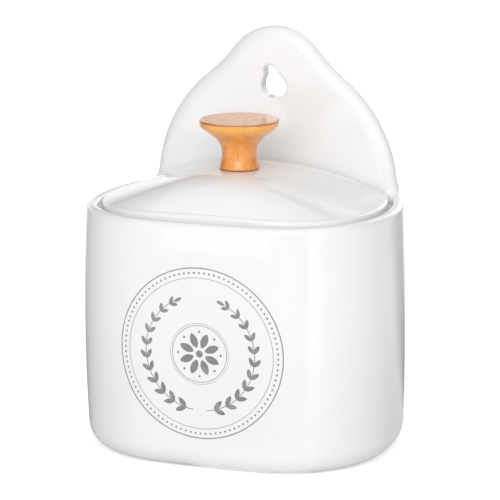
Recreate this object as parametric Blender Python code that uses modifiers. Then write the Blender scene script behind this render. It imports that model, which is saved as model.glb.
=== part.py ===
"""A salt cellar that hangs on a wall: a glazed ceramic box cast in one with its tall back plate, and a loose
vaulted lid with a turned wooden knob. Lengths are metres. X runs to the right, -Y to the front and +Z up, from
the middle of the foot."""

import math

import bmesh
import bpy
import numpy as np

# Body: its plan is a bowed front, round corners, bowed sides and a flat back with small corners
BODY_WIDTH = 0.140
BODY_DEPTH = 0.096
RIM_HEIGHT = 0.1083
FRONT_BOW_RADIUS = 0.345
CORNER_RADIUS = 0.0465
SIDE_BOW_RADIUS = 0.088
BACK_CORNER_RADIUS = 0.010
SIDE_TURN = math.radians(85)
BELLY_DRAW = 0.0012
WALL = 0.005
FLOOR = 0.006
RIM_ROUNDING = 0.0022

# Foot and floor
FOOT_ROUNDING = 0.010
FOOT_LAND = 0.005
FOOT_RECESS = 0.0015
FOOT_CORNER_RADIUS = 0.008
FLOOR_ROUNDING = 0.008
FLOOR_CORNER_RADIUS = 0.006

# Ledge inside the rim, where the lid rests
LEDGE_DROP = 0.0037
LEDGE_WIDTH = 0.0035
LEDGE_THICKNESS = 0.0025
LEDGE_TAPER = 0.005
MOUTH_CORNER_RADIUS = 0.009

# Back plate, its outline as four curves from the flank to the top, in shares of half its width and its rise
PLATE_THICKNESS = 0.0075
PLATE_HALF_WIDTH = 0.0576
PLATE_RISE = 0.0717
PLATE_BACK_EDGE = 0.0025
PLATE_FRONT_EDGE = 0.0065
PLATE_FILLET = 0.004
PLATE_CURVE_SHARES = (
    ((1, 0), (0.990, 0.047), (0.980, 0.093), (0.970, 0.140)),
    ((0.970, 0.140), (0.926, 0.354), (0.784, 0.547), (0.573, 0.682)),
    ((0.573, 0.682), (0.486, 0.738), (0.407, 0.801), (0.337, 0.871)),
    ((0.337, 0.871), (0.255, 0.953), (0.131, 1), (0, 1)),
)
STRETCH_BLEND = 0.013

# Hanging hole: a wide lower part that passes a nail's head, and a narrow upper one that leans to one side. Its
# outline runs clockwise from the top, in shares of half its width and half its height
HOLE_WIDTH = 0.0118
HOLE_HEIGHT = 0.0146
HOLE_DROP = 0.0244
HOLE_ASIDE = 0.0004
HOLE_ROUNDING = 0.0012
HOLE_OUTLINE_SHARES = (
    (-0.35, 1), (0.07, 0.90), (0.29, 0.62), (0.61, 0.32), (0.94, -0.04), (1, -0.39), (0.71, -0.80),
    (0.04, -1), (-0.61, -0.89), (-0.97, -0.52), (-1, -0.06), (-0.80, 0.36), (-0.84, 0.68), (-0.68, 0.90),
)

# Lid: a vault that is highest along its straight back edge
LID_GAP = 0.0017
LID_LIP = 0.004
LID_VAULT = 0.0111
LID_WALL = 0.0045
LID_EDGE_ROUNDING = 0.0018
LID_BOTTOM_EDGE = 0.0006
VAULT_CORNER_RADIUS = 0.002
VAULT_SIDE_POWER = 2.15
VAULT_FRONT_POWER = 3.0
FLANGE_PLAY = 0.001
FLANGE_WALL = 0.0035
FLANGE_DEPTH = 0.007
FLANGE_CORNER_RADIUS = 0.004

# Neck of the lid, under the knob
NECK_RADIUS = 0.0076
NECK_FILLET = 0.003
NECK_FILLET_RISE = 0.0028
NECK_HEIGHT = 0.0054
NECK_EDGE = 0.0006

# Knob: a flat top, a band at its edge, a flare to the waist and a spreading foot
KNOB_HEIGHT = 0.0214
KNOB_TOP_RADIUS = 0.0174
KNOB_BAND = 0.0029
KNOB_BAND_DRAW = 0.0004
KNOB_TOP_EDGE = 0.0009
KNOB_WAIST_RADIUS = 0.0076
KNOB_WAIST_HEIGHT = 0.0066
KNOB_FOOT_RADIUS = 0.00875
KNOB_FOOT_EDGE = 0.0004
FLARE_SHARES = ((1, 1), (0.53, 0.64), (0, 0.54), (0, 0))
FOOT_CURVE_SHARES = ((0, 1), (0, 0.61), (0.79, 0.26), (1, 0))

# Fixing: a screw through washer, seal and neck into a threaded insert in the knob
SCREW_RADIUS = 0.002
SCREW_LENGTH = 0.022
SCREW_HEAD_RADIUS = 0.004
SCREW_HEAD_HEIGHT = 0.0024
SCREW_HEAD_EDGE = 0.0011
SCREW_POINT = 0.0006
BORE_CLEARANCE = 0.0004
SEAL_RADIUS = 0.0065
SEAL_THICKNESS = 0.001
SEAL_SEAT_MARGIN = 0.0015
WASHER_RADIUS = 0.006
WASHER_THICKNESS = 0.0008
INSERT_WALL = 0.0009
INSERT_LENGTH = 0.010
INSERT_ROOM = 0.0022

# Space between pieces that touch, and the length that a cut runs past the faces
SEAT_GAP = 0.0003
OVERRUN = 0.002

# Counts of steps along the plate's curves, and along the bow, corner, side, back corner and half back of a ring
PLATE_CURVE_STEPS = (2, 5, 3, 6)
PLATE_SIDE_STEPS = 4
POT_STEPS = (2, 14, 5, PLATE_SIDE_STEPS, sum(PLATE_CURVE_STEPS))
LID_STEPS = (2, 12, 5, 4, 8)

# Counts of steps up the walls, over the edges and round turned pieces
OUTER_WALL_STEPS = 6
INNER_WALL_STEPS = 5
MOUTH_STEPS = 3
EDGE_STEPS = 4
HOLE_STEPS = 2
HOLE_EDGE_STEPS = 3
KNOB_CURVE_STEPS = 8
KNOB_STEPS = 40
FIXING_STEPS = 28

# Where the rings of the lid's underside and top lie, in shares of the way
UNDERSIDE_SHARES = (0.25, 0.5, 0.75, 1)
TOP_SHARES = (0, 0.12, 0.3, 0.5, 0.7, 0.87, 1)
SMOOTH_ANGLE = math.radians(35)

BACK_Y = BODY_DEPTH / 2
LEDGE_HEIGHT = RIM_HEIGHT - LEDGE_DROP
SEAT_HEIGHT = LEDGE_HEIGHT + SEAT_GAP
LID_INSET = WALL + LID_GAP
LID_BACK_INSET = PLATE_THICKNESS + LID_GAP
FLANGE_INSET = WALL + LEDGE_WIDTH + FLANGE_PLAY
FLANGE_BACK_INSET = PLATE_THICKNESS + LEDGE_WIDTH + FLANGE_PLAY
BORE_RADIUS = SCREW_RADIUS + BORE_CLEARANCE
SEAL_SEAT_RADIUS = SEAL_RADIUS + SEAL_SEAT_MARGIN
INSERT_RADIUS = SCREW_RADIUS + SEAT_GAP + INSERT_WALL
MERGE_DISTANCE = SEAT_GAP / 1000


def curve_point(controls, share):
    """The point of the Bezier curve with these controls at this share of its parameter."""
    points = np.asarray(controls, float)
    while len(points) > 1:
        points = points[:-1] + (points[1:] - points[:-1]) * share
    return points[0]


def curve_direction(controls, share):
    """The unit tangent of the same curve."""
    slope = curve_point(np.diff(np.asarray(controls, float), axis=0), share)
    return slope / np.linalg.norm(slope)


def half_plan(half_width, depth, back_y, trim, back_radius, steps):
    """Half the body's plan, from the middle of the front round the right side to the middle of the back, as
    arcs that run on smoothly. Trim is how much smaller the three large radii are than the body's own."""
    bow, corner, side = (radius - trim for radius in (FRONT_BOW_RADIUS, CORNER_RADIUS, SIDE_BOW_RADIUS))
    sine, cosine = math.sin(SIDE_TURN), math.cos(SIDE_TURN)
    bow_turn = math.asin((half_width - corner * sine - side * (1 - sine)) / (bow - corner))
    run = bow * (1 - math.cos(bow_turn)) + corner * (math.cos(bow_turn) - cosine) + side * cosine
    back_turn = math.acos((run + back_radius - depth) / (side - back_radius))
    turns = (0, bow_turn, SIDE_TURN, back_turn, math.pi)
    x, y = 0, back_y - depth
    points = [(x, y)]
    for radius, start, end, count in zip((bow, corner, side, back_radius), turns, turns[1:], steps):
        for turn in np.linspace(start, end, count + 1)[1:]:
            points.append((x + radius * (math.sin(turn) - math.sin(start)),
                           y + radius * (math.cos(start) - math.cos(turn))))
        x, y = points[-1]
    for share in np.linspace(1, 0, steps[-1] + 1)[1:]:
        points.append((x * share, back_y))
    return np.array(points)


def at_height(half, z):
    """The same half ring at this height, or at these heights, one for each point."""
    return np.column_stack([half[:, :2], np.broadcast_to(z, len(half))])


def level(z, inset, back_inset, back_radius, steps=POT_STEPS):
    """Half a ring of the body at height z, drawn in at rim and foot, and set in from the outer faces."""
    draw = BELLY_DRAW * (2 * z / RIM_HEIGHT - 1) ** 2
    half = half_plan(BODY_WIDTH / 2 - draw - inset, BODY_DEPTH - draw - inset - back_inset,
                     BACK_Y - back_inset, inset, back_radius, steps)
    return at_height(half, z)


def blended(first, last, share):
    return first + (last - first) * share


def whole(half):
    """A closed ring from its right half."""
    return np.concatenate([half, half[-2:0:-1] * (-1, 1, 1)])


def skin(name, rings, capped):
    """A mesh drawn through rings of as many points each. Its ends are capped, or else meet each other."""
    shape = bmesh.new()
    verts = [shape.verts.new(point) for point in rings[0]]
    edges = [shape.edges.new(pair) for pair in zip(verts, verts[1:] + verts[:1])]
    if capped:
        shape.faces.new(verts)
    for ring in list(rings[1:]) + ([] if capped else [rings[0]]):
        made = set(bmesh.ops.extrude_edge_only(shape, edges=edges)["geom"])
        verts = [next(edge.other_vert(vert) for edge in vert.link_edges if edge.other_vert(vert) in made)
                 for vert in verts]
        for vert, point in zip(verts, ring):
            vert.co = point
        edges = [shape.edges.get(pair) for pair in zip(verts, verts[1:] + verts[:1])]
    if capped:
        shape.faces.new(verts)
    else:
        bmesh.ops.remove_doubles(shape, verts=shape.verts, dist=MERGE_DISTANCE)
    bmesh.ops.recalc_face_normals(shape, faces=shape.faces)
    mesh = bpy.data.meshes.new(name)
    shape.to_mesh(mesh)
    shape.free()
    mesh.shade_smooth()
    mesh.set_sharp_from_angle(angle=SMOOTH_ANGLE)
    return mesh


def finish_of(name, colour, roughness, metallic=0):
    """A plain material with the piece's colour and gloss."""
    material = bpy.data.materials.new(name)
    material.use_nodes = True
    shader = material.node_tree.nodes["Principled BSDF"]
    shader.inputs["Base Color"].default_value = (*colour, 1)
    shader.inputs["Roughness"].default_value = roughness
    shader.inputs["Metallic"].default_value = metallic
    return material


def placed(name, mesh, material, collection, parent=None, z=0):
    """An object of this mesh, on the knob's axis at height z."""
    piece = bpy.data.objects.new(name, mesh)
    piece.location.z = z
    piece.parent = parent
    mesh.materials.append(material)
    collection.objects.link(piece)
    return piece


def turned(name, profile, steps, closed, *place):
    """A piece turned about its own Z axis. The profile is in radius and height and runs down its outer side."""
    count = len(profile)
    edges = [(i, (i + 1) % count) for i in range(count if closed else count - 1)]
    mesh = bpy.data.meshes.new(name)
    mesh.from_pydata([(radius, 0, z) for radius, z in profile], edges, [])
    piece = placed(name, mesh, *place)
    spin = piece.modifiers.new("turning", "SCREW")
    spin.steps = spin.render_steps = steps
    spin.use_merge_vertices = True
    spin.merge_threshold = MERGE_DISTANCE
    spin.use_smooth_shade = True
    return piece


def plate_outline():
    """The plate's crest line from its flank to its top and the direction out of it, one row a point."""
    curves = np.array(PLATE_CURVE_SHARES) * (PLATE_HALF_WIDTH, PLATE_RISE)
    start_share = PLATE_FILLET / curves[0, -1, 1]
    curves[0] = [curve_point(curves[0], share) for share in np.linspace(start_share, 1, len(curves[0]))]
    places = [(curves[0], 0)]
    for curve, count in zip(curves, PLATE_CURVE_STEPS):
        places += [(curve, share) for share in np.linspace(0, 1, count + 1)[1:]]
    y = BACK_Y - PLATE_BACK_EDGE
    tops, ups = [], []
    for curve, share in places:
        x, z = curve_point(curve, share)
        along_x, along_z = curve_direction(curve, share)
        tops.append((x, y, RIM_HEIGHT + z))
        ups.append((along_z, 0, -along_x))
    return np.array(tops), np.array(ups)


def crest_frame():
    """The line of the rim's top, which runs on round the plate, with the directions up and out of the edge
    there and the sizes of its rounding: out, down on the outside, in, and down on the inside."""
    outer = level(RIM_HEIGHT, 0, 0, BACK_CORNER_RADIUS)
    inner = level(RIM_HEIGHT, WALL, PLATE_THICKNESS, MOUTH_CORNER_RADIUS)
    tops, rim_out = (outer + inner) / 2, (outer - inner) / 2
    half_wall = np.linalg.norm(rim_out, axis=1)
    out = rim_out / half_wall[:, None]
    up = np.tile((0.0, 0.0, 1.0), (len(tops), 1))
    rounding = np.full(len(tops), RIM_ROUNDING)
    sizes = np.column_stack([half_wall, rounding, half_wall, rounding])

    plate_start = len(tops) - sum(PLATE_CURVE_STEPS) - 1
    rim_end = plate_start - PLATE_SIDE_STEPS
    tops[plate_start:], up[plate_start:] = plate_outline()
    out[plate_start:] = (0, 1, 0)
    sizes[plate_start:] = (PLATE_BACK_EDGE, PLATE_BACK_EDGE,
                           PLATE_THICKNESS - PLATE_BACK_EDGE, PLATE_FRONT_EDGE)
    bend = (tops[rim_end], (PLATE_HALF_WIDTH, tops[plate_start, 1], RIM_HEIGHT), tops[plate_start])
    for index in range(rim_end + 1, plate_start):
        share = (index - rim_end) / (plate_start - rim_end)
        tops[index] = curve_point(bend, share)
        out[index] = blended(out[rim_end], out[plate_start], share)
        up[index] = np.cross(out[index], curve_direction(bend, share))
        out[index] /= np.linalg.norm(out[index])
        up[index] /= np.linalg.norm(up[index])
        sizes[index] = blended(sizes[rim_end], sizes[plate_start], share)
    return tops, up, out, sizes


def crest_rings():
    """The rounding of the crest, over the top from its outer end to its inner end."""
    tops, up, out, sizes = crest_frame()

    def at(turn, side, reach, fall):
        outward, down = side * reach * math.cos(turn), fall * (1 - math.sin(turn))
        ring = tops + out * outward[:, None] - up * down[:, None]
        ring[:, 1] = np.minimum(ring[:, 1], BACK_Y)
        return ring

    quarter = np.linspace(0, math.pi / 2, EDGE_STEPS + 1)
    outside = [at(turn, 1, sizes[:, 0], sizes[:, 1]) for turn in quarter]
    inside = [at(turn, -1, sizes[:, 2], sizes[:, 3]) for turn in quarter[-2::-1]]
    return outside + inside


def edge_rings(z, inset, back_inset, corners, radius):
    """Rings up a rounded edge of the box, above height z. The corners are its back radii below and above."""
    rings = []
    for turn in np.linspace(0, math.pi / 2, EDGE_STEPS + 1):
        away = 1 - math.sin(turn)
        rings.append(level(z + radius * (1 - math.cos(turn)), inset + radius * away, back_inset + radius * away,
                           blended(corners[1], corners[0], away)))
    return rings


def pot_rings():
    """Half rings of the pot, from the recess under its foot up outside, over the crest and down to its floor."""
    land = FOOT_ROUNDING + FOOT_LAND
    recess = land + FOOT_RECESS
    rings = [at_height(level(0, recess, recess, FOOT_CORNER_RADIUS - FOOT_RECESS), FOOT_RECESS),
             level(0, land, land, FOOT_CORNER_RADIUS)]
    rings += edge_rings(0, 0, 0, (FOOT_CORNER_RADIUS, BACK_CORNER_RADIUS), FOOT_ROUNDING)
    for z in np.linspace(FOOT_ROUNDING, RIM_HEIGHT - STRETCH_BLEND, OUTER_WALL_STEPS + 1)[1:]:
        rings.append(level(z, 0, 0, BACK_CORNER_RADIUS))
    rings += crest_rings()
    crest_end = rings[-1]
    mouth = level(LEDGE_HEIGHT, WALL, PLATE_THICKNESS, MOUTH_CORNER_RADIUS)
    rings += [blended(crest_end, mouth, share) for share in np.linspace(0, 1, MOUTH_STEPS + 1)[1:]]
    ledge = level(LEDGE_HEIGHT, WALL + LEDGE_WIDTH, PLATE_THICKNESS + LEDGE_WIDTH,
                  MOUTH_CORNER_RADIUS - LEDGE_WIDTH)
    under_ledge = LEDGE_HEIGHT - LEDGE_THICKNESS
    rings += [ledge, at_height(ledge, under_ledge)]
    for z in np.linspace(under_ledge - LEDGE_TAPER, FLOOR + FLOOR_ROUNDING, INNER_WALL_STEPS + 1)[:-1]:
        rings.append(level(z, WALL, PLATE_THICKNESS, MOUTH_CORNER_RADIUS))
    corners = (FLOOR_CORNER_RADIUS, MOUTH_CORNER_RADIUS)
    return rings + edge_rings(FLOOR, WALL, PLATE_THICKNESS, corners, FLOOR_ROUNDING)[::-1]


def hole_ring(y, spread):
    """The hanging hole's outline at this depth, grown by spread: a smooth closed curve through its points."""
    middle = (HOLE_ASIDE, RIM_HEIGHT + PLATE_RISE - HOLE_DROP)
    points = np.array(HOLE_OUTLINE_SHARES) * (HOLE_WIDTH / 2, HOLE_HEIGHT / 2) + middle
    following = np.roll(points, -1, axis=0)
    slopes = (following - np.roll(points, 1, axis=0)) / 6
    ring = []
    for curve in zip(points, points + slopes, following - np.roll(slopes, -1, axis=0), following):
        for share in np.linspace(0, 1, HOLE_STEPS + 1)[:-1]:
            x, z = curve_point(curve, share)
            along_x, along_z = curve_direction(curve, share)
            ring.append((x - spread * along_z, y, z + spread * along_x))
    return ring


def hole_cutter():
    """The tool that cuts the hanging hole and rounds its edges at both faces of the plate."""
    rings = []
    for face, inward in ((BACK_Y - PLATE_THICKNESS, 1), (BACK_Y, -1)):
        side = [hole_ring(face - inward * OVERRUN, HOLE_ROUNDING)]
        for turn in np.linspace(0, math.pi / 2, HOLE_EDGE_STEPS + 1):
            depth = HOLE_ROUNDING * (1 - math.cos(turn))
            side.append(hole_ring(face + inward * depth, HOLE_ROUNDING * (1 - math.sin(turn))))
        rings += side[::inward]
    return skin("hole_cutter", rings, True)


def vaulted(half, down=0):
    """The half ring lifted on to the lid's top, or this far below it. The top falls from its highest point,
    the middle of the back edge, to the border all round, and stays high for longer towards the front."""
    focus_y = BACK_Y - LID_BACK_INSET
    border = level(RIM_HEIGHT, LID_INSET, LID_BACK_INSET, VAULT_CORNER_RADIUS, LID_STEPS)
    border = border[:sum(LID_STEPS[:4]) + 1]
    turn = np.arctan2(half[:, 0], focus_y - half[:, 1])
    reach = np.interp(turn, np.arctan2(border[:, 0], focus_y - border[:, 1]),
                      np.hypot(border[:, 0], focus_y - border[:, 1]))
    power = blended(VAULT_SIDE_POWER, VAULT_FRONT_POWER, np.cos(turn) ** 2)
    fall = (np.hypot(half[:, 0], focus_y - half[:, 1]) / reach) ** power
    return at_height(half, SEAT_HEIGHT + LID_LIP + LID_VAULT * (1 - fall) - down)


def lid_level(inset, back_inset, back_radius):
    return level(RIM_HEIGHT, inset, back_inset, back_radius, LID_STEPS)


def vault_height():
    """Height of the lid's top on the knob's axis."""
    return vaulted(np.zeros((1, 3)))[0, 2]


def lid_rings():
    """Half rings of the lid from the lower end of its bore, out below, over the lip and up to the neck."""
    centre = vault_height()
    seal_seat, neck_top = centre - LID_WALL, centre + NECK_HEIGHT
    corner = MOUTH_CORNER_RADIUS - LID_GAP
    border = lid_level(LID_INSET, LID_BACK_INSET, corner)
    turns = np.arctan2(border[:, 0], -border[:, 1])

    def circle(radius, z):
        return at_height(radius * np.column_stack([np.sin(turns), -np.cos(turns)]), z)

    flange_corner = MOUTH_CORNER_RADIUS - LEDGE_WIDTH - FLANGE_PLAY
    flange = lid_level(FLANGE_INSET, FLANGE_BACK_INSET, flange_corner)
    hollow = lid_level(FLANGE_INSET + FLANGE_WALL, FLANGE_BACK_INSET + FLANGE_WALL, FLANGE_CORNER_RADIUS)
    foot = SEAT_HEIGHT - FLANGE_DEPTH
    rings = [circle(BORE_RADIUS, seal_seat), circle(SEAL_SEAT_RADIUS, seal_seat)]
    for share in UNDERSIDE_SHARES:
        rings.append(vaulted(blended(circle(SEAL_SEAT_RADIUS, 0), hollow, share), LID_WALL))
    rings += [at_height(hollow, foot), at_height(flange, foot), at_height(flange, SEAT_HEIGHT)]

    edge = LID_BOTTOM_EDGE
    rings.append(at_height(lid_level(LID_INSET + edge, LID_BACK_INSET + edge, corner - edge), SEAT_HEIGHT))
    rings.append(at_height(border, SEAT_HEIGHT + edge))
    inner_edge = lid_level(LID_INSET + LID_EDGE_ROUNDING, LID_BACK_INSET + LID_EDGE_ROUNDING,
                           corner - LID_EDGE_ROUNDING)
    top_edge = vaulted(inner_edge)
    for turn in np.linspace(0, math.pi / 2, EDGE_STEPS + 1)[:-1]:
        ring = blended(top_edge, border, math.cos(turn))
        rings.append(at_height(ring, top_edge[:, 2] - LID_EDGE_ROUNDING * (1 - math.sin(turn))))
    fillet_foot = circle(NECK_RADIUS + NECK_FILLET, 0)
    for share in TOP_SHARES:
        rings.append(vaulted(blended(inner_edge, fillet_foot, share)))
    foot_height = rings[-1][:, 2]
    for turn in np.linspace(0, math.pi / 2, EDGE_STEPS + 1)[1:]:
        z = blended(foot_height, centre + NECK_FILLET_RISE, 1 - math.cos(turn))
        rings.append(circle(NECK_RADIUS + NECK_FILLET * (1 - math.sin(turn)), z))
    rings += [circle(NECK_RADIUS, neck_top - NECK_EDGE), circle(NECK_RADIUS - NECK_EDGE, neck_top),
              circle(BORE_RADIUS, neck_top)]
    return rings


def knob_curve(shares, radius, low, high):
    """Radius and height down a curve of the knob's side, whose shares run from the waist to this radius."""
    points = [curve_point(shares, share) for share in np.linspace(0, 1, KNOB_CURVE_STEPS + 1)]
    return [(blended(KNOB_WAIST_RADIUS, radius, out), blended(low, high, rise)) for out, rise in points]


def knob_profile():
    """Radius and height down the knob's outside and up its blind bore, from its own base."""
    band_foot = KNOB_TOP_RADIUS - KNOB_BAND_DRAW
    profile = [(0, KNOB_HEIGHT), (KNOB_TOP_RADIUS - KNOB_TOP_EDGE, KNOB_HEIGHT),
               (KNOB_TOP_RADIUS, KNOB_HEIGHT - KNOB_TOP_EDGE)]
    profile += knob_curve(FLARE_SHARES, band_foot, KNOB_WAIST_HEIGHT, KNOB_HEIGHT - KNOB_BAND)
    profile += knob_curve(FOOT_CURVE_SHARES, KNOB_FOOT_RADIUS, KNOB_FOOT_EDGE, KNOB_WAIST_HEIGHT)[1:]
    bore = INSERT_RADIUS + SEAT_GAP
    bore_end = SEAT_GAP + INSERT_LENGTH + INSERT_ROOM
    return profile + [(KNOB_FOOT_RADIUS - KNOB_FOOT_EDGE, 0), (bore, 0), (bore, bore_end), (0, bore_end)]


def tube_profile(inner, outer, height):
    return [(inner, height), (outer, height), (outer, 0), (inner, 0)]


def screw_profile():
    """Radius and height of the screw, point up, from the underside of its rounded head."""
    tip = SCREW_HEAD_HEIGHT + SCREW_LENGTH
    profile = [(0, tip), (SCREW_RADIUS - SCREW_POINT, tip), (SCREW_RADIUS, tip - SCREW_POINT),
               (SCREW_RADIUS, SCREW_HEAD_HEIGHT), (SCREW_HEAD_RADIUS, SCREW_HEAD_HEIGHT)]
    for turn in np.linspace(0, math.pi / 2, EDGE_STEPS + 1):
        profile.append((SCREW_HEAD_RADIUS - SCREW_HEAD_EDGE * (1 - math.cos(turn)),
                        SCREW_HEAD_EDGE * (1 - math.sin(turn))))
    return profile + [(0, 0)]


def build():
    for old in list(bpy.data.objects):
        bpy.data.objects.remove(old)
    parts = bpy.data.collections.new("salt_cellar")
    cutters = bpy.data.collections.new("cutters")
    for collection in (parts, cutters):
        bpy.context.scene.collection.children.link(collection)

    glaze = finish_of("white_glaze", (0.86, 0.86, 0.86), 0.12)
    bamboo = finish_of("varnished_bamboo", (0.78, 0.36, 0.10), 0.30)
    steel = finish_of("zinc_plated_steel", (0.62, 0.62, 0.60), 0.35, 1)
    brass = finish_of("brass", (0.75, 0.55, 0.25), 0.35, 1)
    rubber = finish_of("clear_seal_rubber", (0.55, 0.55, 0.53), 0.60)

    lift = bpy.data.objects.new("lid_lift", None)
    parts.objects.link(lift)

    pot = placed("pot", skin("pot", [whole(half) for half in pot_rings()], True), glaze, parts)
    cutter = placed("hole_cutter", hole_cutter(), glaze, cutters)
    cutter.hide_render = True
    cutter.display_type = "WIRE"
    cut = pot.modifiers.new("hanging hole", "BOOLEAN")
    cut.object = cutter

    placed("lid", skin("lid", [whole(half) for half in lid_rings()], False), glaze, parts, lift)
    knob_base = vault_height() + NECK_HEIGHT + SEAT_GAP
    turned("knob", knob_profile(), KNOB_STEPS, False, bamboo, parts, lift, knob_base)
    inner = SCREW_RADIUS + SEAT_GAP
    turned("knob_insert", tube_profile(inner, INSERT_RADIUS, INSERT_LENGTH), FIXING_STEPS, True,
           brass, parts, lift, knob_base + SEAT_GAP)
    seal_base = vault_height() - LID_WALL - SEAT_GAP - SEAL_THICKNESS
    turned("knob_seal", tube_profile(inner, SEAL_RADIUS, SEAL_THICKNESS), FIXING_STEPS, True,
           rubber, parts, lift, seal_base)
    washer_base = seal_base - SEAT_GAP - WASHER_THICKNESS
    turned("knob_washer", tube_profile(inner, WASHER_RADIUS, WASHER_THICKNESS), FIXING_STEPS, True,
           steel, parts, lift, washer_base)
    turned("knob_screw", screw_profile(), FIXING_STEPS, False, steel, parts, lift,
           washer_base - SEAT_GAP - SCREW_HEAD_HEIGHT)


build()
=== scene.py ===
"""The looks of a wall-hung salt cellar: white glaze, a bamboo knob, its fixings and a printed medallion.
Lengths are metres. X runs to the right, -Y to the front and +Z up, from the middle of the foot."""

from math import acos, asin, copysign, cos, pi, radians, sin

import bmesh
import bpy
import numpy as np
from bpy.props import FloatProperty, FloatVectorProperty, IntProperty, PointerProperty
from mathutils import Matrix, Vector


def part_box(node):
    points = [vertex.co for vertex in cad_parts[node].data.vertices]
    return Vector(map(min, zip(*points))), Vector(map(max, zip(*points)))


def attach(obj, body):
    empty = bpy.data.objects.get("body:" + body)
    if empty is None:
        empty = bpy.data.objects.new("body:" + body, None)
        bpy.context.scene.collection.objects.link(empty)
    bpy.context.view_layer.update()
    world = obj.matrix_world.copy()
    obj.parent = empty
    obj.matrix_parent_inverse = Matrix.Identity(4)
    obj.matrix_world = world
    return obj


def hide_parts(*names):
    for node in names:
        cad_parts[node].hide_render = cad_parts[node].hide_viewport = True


bl_info = {
    "name": "Salt Cellar",
    "version": (1, 0, 0),
    "blender": (4, 5, 0),
    "location": "3D View > Sidebar > Cellar",
    "description": "Builds a wall-hung ceramic salt cellar round its packed frame",
    "category": "Object",
}

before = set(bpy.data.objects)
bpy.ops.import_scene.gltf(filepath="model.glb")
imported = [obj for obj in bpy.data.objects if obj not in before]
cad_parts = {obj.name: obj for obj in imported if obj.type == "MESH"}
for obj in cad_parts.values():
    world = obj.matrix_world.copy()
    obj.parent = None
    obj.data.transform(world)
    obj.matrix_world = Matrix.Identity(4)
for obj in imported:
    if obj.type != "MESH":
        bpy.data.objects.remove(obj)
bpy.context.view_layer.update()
POT_LOW, POT_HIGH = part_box("pot")
LID_LOW, LID_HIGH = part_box("lid")
KNOB_LOW, KNOB_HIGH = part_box("knob")
SCREW_LOW, SCREW_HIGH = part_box("knob_screw")
WASHER_LOW, WASHER_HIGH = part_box("knob_washer")
SEAL_LOW, SEAL_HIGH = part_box("knob_seal")
INSERT_LOW, INSERT_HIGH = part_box("knob_insert")

SIDE_TURN = radians(85)
PLATE_CURVE_SHARES = (
    ((1, 0), (0.990, 0.047), (0.980, 0.093), (0.970, 0.140)),
    ((0.970, 0.140), (0.926, 0.354), (0.784, 0.547), (0.573, 0.682)),
    ((0.573, 0.682), (0.486, 0.738), (0.407, 0.801), (0.337, 0.871)),
    ((0.337, 0.871), (0.255, 0.953), (0.131, 1), (0, 1)),
)
FLARE_SHARES = ((1, 1), (0.53, 0.64), (0, 0.54), (0, 0))
FOOT_CURVE_SHARES = ((0, 1), (0, 0.61), (0.79, 0.26), (1, 0))
STRETCH_SHARES = (0.03, 0.2, 0.4, 0.6, 0.8, 0.97, 1)
CREST_FOOT_SHARES = (0.35, 0.7, 0.97)
LEDGE_SHARES = (0.05, 0.5, 0.85)
HOLLOW_SHARES = (0.03, 0.15, 0.3, 0.45, 0.6, 0.75, 0.88, 0.97, 1)
TOP_SHARES = (0, 0.03, 0.1, 0.2, 0.3, 0.4, 0.5, 0.6, 0.7, 0.8, 0.88, 0.95, 1)
BORE_EDGE, SEAL_MARGIN, BORE_SPARE, HEAD_EDGE = 0.0003, 0.0015, 0.0022, 0.0011
THREADED_SHARE = 0.8
DRIVER_TAPER = (0.45, 0.7)
BRANCH_RADIUS = 0.66
BRANCH_TURNS = (radians(7), radians(152))
LEAF_LEAN = radians(34)
LEAF_POWER = 0.6
LEAF_START_SHARE = 0.02
# Painted shade on the knob: a painted contact shadow darkens its foot, and a thin dark line runs just under
# its top edge.
FOOT_SHADOW_AND_TOP_LINE_STOPS = ((0, 0.4), (0.015, 0.4), (0.03, 0), (0.965, 0), (0.975, 0.9), (0.992, 0.9), (0.998, 0))
HOLE_OUTLINE_SHARES = (
    (-0.35, 1), (0.07, 0.90), (0.29, 0.62), (0.61, 0.32), (0.94, -0.04), (1, -0.39), (0.71, -0.80),
    (0.04, -1), (-0.61, -0.89), (-0.97, -0.52), (-1, -0.06), (-0.80, 0.36), (-0.84, 0.68), (-0.68, 0.90),
)
VAULT_SIDE_POWER = 2.15
VAULT_FRONT_POWER = 3.0
CROWN_SIDE_POWER = 1.3
CROWN_FRONT_POWER = 2.5
MERGE = 1e-7
SMOOTH_ANGLE = radians(35)
GLAZE_IOR = 1.5
POT_BARE, LID_BARE = 0.0002, 0.0003


def length(name, description, default):
    return FloatProperty(name=name, description=description, default=default, unit="LENGTH", precision=5)


def colour(name, description, default):
    return FloatVectorProperty(name=name, description=description, default=default, subtype="COLOR",
                               min=0, max=1)


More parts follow.
